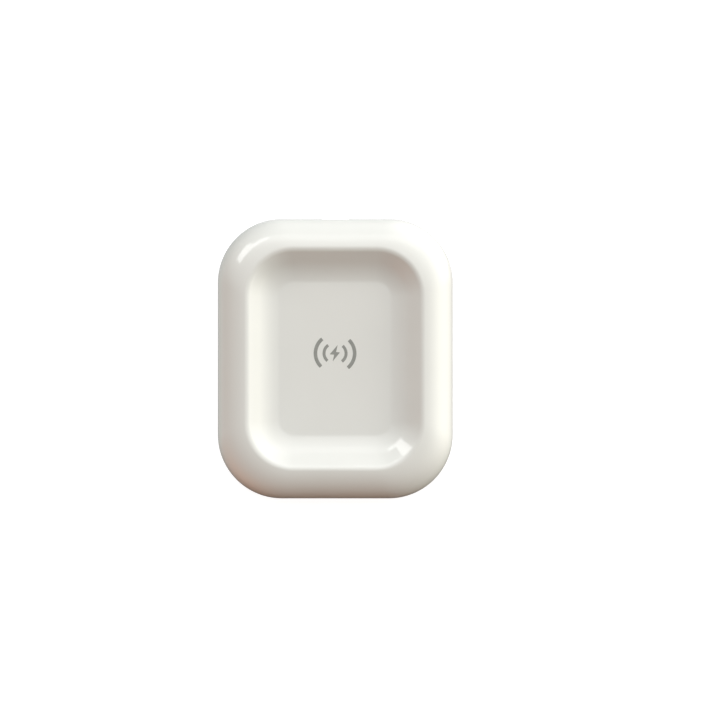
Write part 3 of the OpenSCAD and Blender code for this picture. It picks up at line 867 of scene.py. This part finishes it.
def make_inlet():
    """A USB-C receptacle: a drawn shell, a stepped tongue and rows of contacts."""
    middle, half = centred(usb_low, usb_high)
    wall = 0.3
    make_inlet_shell(middle, half, wall)
    inside = usb_low.y + wall
    front = box_mm("usb_tongue")[1].y
    block_x, block_z = half.x - wall - 0.01, half.z - wall - 0.01
    bm = bmesh.new()
    loft_slots(bm, [(block_x, block_z, inside), (block_x, block_z, inside + 1.7),
                    (block_x - 0.1, block_z - 0.1, inside + 1.8)], z=middle.z)
    tongue = ((3.3, 0.32, inside + 1.2), (3.35, 0.35, inside + 1.9), (3.35, 0.35, front - 0.5),
              (3.2, 0.3, front - 0.12), (3.05, 0.2, front))
    skin_loops(bm, [[(x, y, middle.z + z) for x, z in rounded_loop(hx, hz, min(0.12, hz * 0.4), 4, 1)]
                    for hx, hz, y in tongue])
    show_new("inlet_tongue", bm, "black_resin", "usb_tongue")
    bm = bmesh.new()
    for low, high in solids_of("usb_contacts"):
        bevelled_box(bm, low, high, 0.02, 1)
    show_new("inlet_contacts", bm, "gold_plate", "usb_contacts")


# ---- Coil, shield and foam ----

def winding_path():
    """Half circles, each half a pitch larger than the one before, about two centres in turn."""
    path = []
    for k in range(2 * TURNS):
        radius = COIL_R + k * PITCH / 2
        side = 1 if k % 2 == 0 else -1
        count = int(pi * radius / 0.55)
        for turn in span(pi / 2, -pi / 2, count)[:-1]:
            x, y = radius * cos(turn), radius * sin(turn) - PITCH / 4
            path.append(Vector((side * x, side * y, COIL_Z)))
    return path + [Vector((0, COIL_END_R + PITCH / 4, COIL_Z))]


def make_winding():
    bm = bmesh.new()
    sweep(bm, winding_path(), WIRE_R)
    show_new("litz_winding", bm, "copper_litz", "charging_coil", sharp=80)
    lead_z = FERRITE_LOW + 0.5
    inner = [(-0.03, COIL_R - PITCH / 4, COIL_Z), (-1, 9.97, COIL_Z - 0.08), (-2, 9.85, COIL_Z - 0.35),
             (-3, 9.7, COIL_Z - 0.7), (-4, 9.6, COIL_Z - 1), (-5.2, 9.6, lead_z), (-6.4, 10.2, lead_z),
             (-7, 11.4, lead_z), (-7, 17, lead_z), (-7, 22.8, lead_z), (-7, 24.8, FERRITE_LOW + 0.1),
             (-7, 26.2, BOARD_TOP + 0.75), (-7, 27.6, BOARD_TOP + 0.5)]
    outer = [(0.03, COIL_END_R + PITCH / 4, COIL_Z), (1.4, 21.35, COIL_Z), (2.8, 22, COIL_Z),
             (3.6, 23.2, COIL_Z - 0.1), (4, 24.4, COIL_Z - 0.6), (4, 25.4, COIL_Z - 1.5),
             (4, 26.4, BOARD_TOP + 0.8), (4, 27.6, BOARD_TOP + 0.5)]
    for end, route in (("inner", inner), ("outer", outer)):
        bm = bmesh.new()
        sweep(bm, smooth_route(route), 0.45, lay=4.0)
        show_new("litz_lead_" + end, bm, "copper_litz", "coil_lead_" + end, sharp=80)


def make_sensor():
    """A bead of epoxy in the middle of the coil, and its two insulated wires to the board."""
    low, _, _, half = measure("temperature_sensor")
    radius, height, shoulder = half.x, 2 * half.z, 0.35
    profile = [(0, 0), (radius * 0.7, 0), (radius * 0.93, 0.12), (radius, shoulder)]
    profile += [(radius * cos(a), shoulder + (height - shoulder) * sin(a))
                for a in span(0.15, 1.45, 8)] + [(0, height)]
    bm = bmesh.new()
    lathe(bm, profile, 48, at(0, 0, low.z))
    show_new("sensor_bead", bm, "epoxy_bead", "temperature_sensor")
    under = FERRITE_LOW - 0.6
    route = [(0, 0, low.z - 0.02), (0, 0, FERRITE_LOW + 0.3), (0, 0.5, FERRITE_LOW - 0.4),
             (0, 1.6, under), (0, 12, under), (0, 23, under),
             (0, 26, BOARD_TOP + 0.5), (0, 27.2, BOARD_TOP + 0.25)]
    bm = bmesh.new()
    for side in (-0.5, 0.5):
        wire = [point + Vector((side, 0, 0)) for point in smooth_route(route)]
        sweep(bm, wire, 0.18, up=(1, 0, 0), depth=0, sides=12)
    show_new("sensor_wires", bm, "red_insulation", "sensor_leads")


def make_shield():
    """A ferrite sheet with rounded edges, a slot for the inner lead and a hole for the sensor."""
    low, high, _, half = measure("ferrite_shield")
    edge, hole_r = 0.12, 1.3
    obj = softened_sheet("ferrite_sheet", low, high, 2, edge, 12)
    low, high = low.z, high.z
    for end in ((-6.25, half.x + 1), (-0.75, 10.8)):
        bm = bmesh.new()
        bevelled_box(bm, (-7.75, 8.9, low - 1), (*end, high + 1), 0.15)
        cut(obj, bm)
    bm = bmesh.new()
    lathe(bm, [(0, low - 1), (hole_r + 0.15, low - 1), (hole_r + edge, low), (hole_r, low + edge),
               (hole_r, high - edge), (hole_r + edge, high), (hole_r + 0.15, high + 1), (0, high + 1)], 48)
    cut(obj, bm)
    sharpen(obj, 30)
    show(obj, "ferrite", "ferrite_shield")


def make_foam():
    """Soft foam, squeezed between the base and the shield, so that its sides swell a little."""
    _, high, middle, half = measure("support_foam")
    sections = []
    for share in span(-1, 1, 14):
        side = half.x - 0.35 * abs(share) ** 3 - (0.25 if abs(share) == 1 else 0)
        sections.append((side, side, 3.0, middle.z + half.z * share))
    obj = lofted("foam_block", sections, corner_steps=12)
    # A channel in its upper face for the sensor's wires
    bm = bmesh.new()
    bevelled_box(bm, (-1.3, -1.3, high.z - 1.1), (1.3, half.x + 1, high.z + 1), 0.3, 3)
    cut(obj, bm)
    sharpen(obj, 50)
    show(obj, "black_foam", "support_foam")


def make_tape(name, node, inner, steps=256):
    """A ring of adhesive film, its edges a little uneven from cutting."""
    low, high, _, half = measure(node)
    outer = half.x
    loops = []
    for radius, z, sign in ((inner, low.z, 1), (outer, low.z, -1), (outer, high.z, -1), (inner, high.z, 1)):
        ring = []
        for x, y, _ in circle(1, z, steps):
            turn = 2 * pi * len(ring) / steps
            reach = radius + sign * 0.025 * (1 + sin(5 * turn + 1) * sin(13 * turn))
            ring.append((reach * x, reach * y, z))
        loops.append(ring)
    bm = bmesh.new()
    skin_loops(bm, loops, ring=True)
    show_new(name, bm, "adhesive_film", node)


# ---- Circuit board ----

def make_board():
    """The laminate, with rounded corners, softened edges and two screw holes."""
    obj = softened_sheet("board_laminate", board_low, board_high, 1, 0.05, 10)
    bm = bmesh.new()
    for x, y in BOARD_SCREWS:
        cylinder(bm, 1.0, board_low.z - 1, BOARD_TOP + 1, x, y, 48)
    cut(obj, bm)
    sharpen(obj)
    show(obj, "green_laminate", "circuit_board")


def end_boxes(low, high, share):
    """The two end parts of a box along its longer side."""
    axis = 0 if high.x - low.x > high.y - low.y else 1
    length = (high[axis] - low[axis]) * share
    first, last = high.copy(), low.copy()
    first[axis] = low[axis] + length
    last[axis] = high[axis] - length
    return (low, first), (last, high)


# Two-terminal chips: piece, CAD node, slot, share of the length in each end cap, and edge radius
CHIPS = (("resonant_chips", "resonant_capacitors", "tan_ceramic", 0.16, 0.10),
         ("input_chips", "input_capacitors", "tan_ceramic", 0.18, 0.12),
         ("small_chips", "chip_capacitors", "tan_ceramic", 0.24, 0.04),
         ("resistor_chips", "chip_resistors", "black_epoxy", 0.22, 0.03),
         ("sense_chip", "sense_resistor", "black_epoxy", 0.17, 0.05))


def make_chips():
    """Chips: a body with softened edges, and a tinned cap round each end."""
    caps = bmesh.new()
    gap = 0.03
    for name, node, slot, share, edge in CHIPS:
        bm = bmesh.new()
        for low, high in solids_of(node):
            bevelled_box(bm, low + Vector((gap, gap, 0)), high - Vector((gap, gap, gap)), edge)
            for a, b in end_boxes(low, high, share):
                bevelled_box(caps, a, b, edge)
        show_new(name, bm, slot, node)
    show_new("chip_terminals", caps, "solder")


def make_pads():
    """Tinned copper under and around the chips' ends, and rows of vias beside the bridge."""
    bm = bmesh.new()
    low_z, high_z = BOARD_TOP - 0.01, BOARD_TOP + 0.035
    for _, node, _, share, _ in CHIPS:
        for low, high in solids_of(node):
            reach = 0.12 + 0.1 * (high.z - low.z)
            for a, b in end_boxes(low, high, share):
                bevelled_box(bm, (a.x - reach, a.y - reach * 0.4, low_z),
                             (b.x + reach, b.y + reach * 0.4, high_z), 0.015, 1)
    for x, y in BOARD_SCREWS:
        ring_pad(bm, x, y, 1.05, 2.0)
    via_x, via_y, spacing = 13.6, board_low.y + 2, 0.9
    for row in range(6):
        for column in range(4):
            ring_pad(bm, via_x + spacing * column, via_y + spacing * row, 0.14, 0.28)
    show_new("board_pads", bm, "solder")


def ring_pad(bm, x, y, inner, outer, steps=32):
    """A flat ring of tinned copper round a hole."""
    section = ((inner, -0.01), (outer, -0.01), (outer, 0.02), (outer - 0.03, 0.035),
               (inner + 0.03, 0.035), (inner, 0.02))
    skin_loops(bm, [circle(radius, BOARD_TOP + z, steps, x, y) for radius, z in section], ring=True)


def make_packages():
    """Leadless packages: a moulded body with a first-pin dimple, and tinned lands."""
    lands = bmesh.new()
    for name, node, pins, pitch in (("controller_package", "transmitter_ic", 10, 0.5),
                                    ("bridge_packages", "bridge_mosfets", 4, 0.65)):
        bm, dimples = bmesh.new(), bmesh.new()
        for low, high in solids_of(node):
            bevelled_box(bm, low + Vector((0, 0, 0.02)), high, 0.06)
            size = high.x - low.x
            cylinder(dimples, size * 0.07, high.z - 0.06, high.z + 0.5,
                     low.x + size * 0.16, high.y - size * 0.16, 24)
            add_lands(lands, low, high, pins, pitch)
        obj = add_object(name, bm)
        cut(obj, dimples)
        sharpen(obj)
        show(obj, "black_epoxy", node)
    show_new("package_lands", lands, "solder")


def add_lands(bm, low, high, pins, pitch):
    """A row of lands along each side of a package, standing out a little from it."""
    middle, half = centred(low, high)
    reach, width, thick = 0.13, pitch * 0.27, 0.2
    for k in range(pins):
        along = (k - (pins - 1) / 2) * pitch
        for side in (-1, 1):
            for x, y, wide, deep in ((side * half.x, along, reach, width),
                                     (along, side * half.y, width, reach)):
                x, y = middle.x + x, middle.y + y
                bevelled_box(bm, (x - wide, y - deep, low.z), (x + wide, y + deep, low.z + thick), 0.03, 1)


def make_crystal():
    """A seam-welded can on a wider rim."""
    low, high, middle, half = measure("clock_crystal")
    rim, wall = low.z + 0.22, 0.16
    plan = ((0.04, low.z), (0, low.z + 0.05), (0, rim - 0.04), (0.04, rim), (wall, rim + 0.03),
            (wall, high.z - 0.12), (wall + 0.04, high.z - 0.03), (wall + 0.14, high.z))
    sections = [(half.x - d, half.y - d, 0.42 - d * 0.8, z) for d, z in plan]
    can = lofted("crystal_can", sections, middle, corner_steps=8, side_steps=2)
    show(can, "bright_steel", "clock_crystal")


def make_lamp():
    """A chip lamp: a base with a domed block of resin on it."""
    low, high, middle, half = measure("status_led")
    base_z = low.z + 0.25
    plan = ((0.02, 0, low.z), (0, 0, low.z + 0.03), (0, 0, base_z), (0.22, 0.02, base_z + 0.02),
            (0.25, 0.04, high.z - 0.2), (0.3, 0.1, high.z - 0.07), (0.42, 0.22, high.z))
    sections = [(half.x - a, half.y - b, 0.1, z) for a, b, z in plan]
    show(lofted("lamp_chip", sections, middle, corner_steps=6, side_steps=2), "lamp_resin", "status_led")


def make_solder():
    """Domes of solder that run out to a thin edge on their pads."""
    bm = bmesh.new()
    for low, high in solids_of("solder_joints"):
        middle, half = centred(low, high)
        radius, height = half.x, 2 * half.z
        profile = [(0, 0), (radius, 0), (radius, 0.02)]
        profile += [(radius * out, height * up) for out, up in
                    ((0.88, 0.12), (0.76, 0.36), (0.68, 0.62), (0.55, 0.84), (0.32, 0.96), (0, 1))]
        lathe(bm, profile, 40, at(middle.x, middle.y, low.z))
    show_new("solder_domes", bm, "solder", "solder_joints")


# ---- Stage ----

def make_floor(size=3.0):
    """Pale paper, seen only from above, that glows a little so that it stays white."""
    mesh = bpy.data.meshes.new("floor")
    mesh.from_pydata([(sx * size, sy * size, 0) for sx, sy in QUARTERS], [], [(0, 1, 2, 3)])
    floor = new_object("floor", mesh)
    material = new_material("floor_paper", Base_Color=(0.4, 0.4, 0.4, 1), Roughness=0.9,
                            Emission_Color=(1, 1, 1, 1), Emission_Strength=0.85)
    nodes = material.node_tree.nodes
    face = add_node(material, "NewGeometry")
    clear = add_node(material, "BsdfTransparent")
    mix = add_node(material, "MixShader", [
        ("Fac", face, "Backfacing"), (1, nodes["Principled BSDF"], "BSDF"), (2, clear, "BSDF")])
    material.node_tree.links.new(mix.outputs["Shader"], nodes["Material Output"].inputs["Surface"])
    mesh.materials.append(material)
    floor.visible_diffuse = False
    floor.visible_glossy = False
    floor.visible_shadow = False


# The room's soft light: broad patches, each with its bearing from +Y towards +X and its height
# above the horizon in degrees, and its colour and strength
SKY = (
    (45, 2, (3.53, 3.59, 3.61)),
    (-45, 28, (1.44, 1.50, 1.40)),
    (90, 2, (1.05, 0.92, 0.68)),
    (90, 28, (1.64, 1.67, 1.50)),
    (0, 58, (1.65, 1.66, 1.66)),
    (-135, 2, (0.98, 0.38, 0.15)),
    (-90, -30, (0.53, 0.70, 0.72)),
    (0, -75, (0.85, 0.85, 0.87)),
)
SPREAD = 8.0


def direction(bearing, height):
    a, e = radians(bearing), radians(height)
    return Vector((sin(a) * cos(e), cos(a) * cos(e), sin(e)))


# The colour inputs and the colour output of a Mix node
COLOUR_A, COLOUR_B, COLOUR_OUT = 6, 7, 2


def make_world():
    """Adds up the patches of light. The camera itself sees plain white beyond the floor."""
    world = bpy.data.worlds.new("studio")
    bpy.context.scene.world = world
    world.use_nodes = True
    place = add_node(world, "TexCoord")
    total = None
    for bearing, height, colour in SKY:
        towards = add_node(world, "VectorMath", [(0, place, "Generated")],
                           {1: direction(bearing, height)}, operation="DOT_PRODUCT")
        fall = add_node(world, "Math", [(0, towards, "Value")],
                        {1: SPREAD, 2: -SPREAD}, operation="MULTIPLY_ADD")
        bell = add_node(world, "Math", [(0, fall, 0)], operation="EXPONENT")
        patch = add_node(world, "VectorMath", [("Scale", bell, 0)], {0: colour}, operation="SCALE")
        if total:
            patch = add_node(world, "VectorMath", [(0, total, 0), (1, patch, 0)])
        total = patch
    path = add_node(world, "LightPath")
    seen = add_node(world, "Mix", [("Factor", path, "Is Camera Ray"), (COLOUR_A, total, 0)],
                    {COLOUR_B: (1, 1, 1, 1)}, data_type="RGBA")
    world.node_tree.links.new(seen.outputs[COLOUR_OUT],
                              world.node_tree.nodes["Background"].inputs["Color"])


def window_light(name, bearing, height, width, tall, power, distance=0.9):
    """A bright pane that shows in the gloss, and adds nothing to the soft light."""
    data = bpy.data.lights.new(name, "AREA")
    data.shape = "RECTANGLE"
    data.size = width
    data.size_y = tall
    data.energy = power
    light = new_object(name, data)
    light.location = direction(bearing, height) * distance
    light.rotation_euler = light.location.to_track_quat("Z", "Y").to_euler()
    light.visible_diffuse = False


# The view: straight down, with the pad a little left of the middle of a picture 720 pixels wide
PICTURE = 720
PIXELS_PER_MM = 3.087
VIEW_X, VIEW_Y = 7.98, -0.43
VIEW_HEIGHT = 350


def make_camera():
    data = bpy.data.cameras.new("camera")
    data.lens = data.sensor_width * VIEW_HEIGHT * PIXELS_PER_MM / PICTURE
    camera = new_object("camera", data)
    camera.location = (VIEW_X * MM, VIEW_Y * MM, (WIDE_Z + VIEW_HEIGHT) * MM)
    bpy.context.scene.camera = camera


make_camera()
make_world()
make_floor()
window_light("window", -48.5, 29.5, width=0.26, tall=0.26, power=0.85)
window_light("window_side", -31, 34, width=0.2, tall=0.12, power=0.2)
window_light("ceiling_strip", 0, 40, width=1.1, tall=0.3, power=0.8)
bpy.context.scene.view_settings.view_transform = "Standard"

make_housing_top()
make_housing_base()
make_symbol()
make_feet()
make_screws("case_screw_set", "case_screws", head_r=2.0, thick=1.3, shank_r=1.1, pitch=0.8)
make_screws("board_screw_set", "board_screws", head_r=1.7, thick=0.9, shank_r=0.9, pitch=0.6)
make_light_pin()
make_inlet()
make_winding()
make_sensor()
make_shield()
make_foam()
make_tape("film_upper", "coil_tape", COIL_R - 0.6)
make_tape("film_lower", "ferrite_tape", COIL_R + 0.9)
make_board()
make_chips()
make_pads()
make_packages()
make_crystal()
make_lamp()
make_solder()
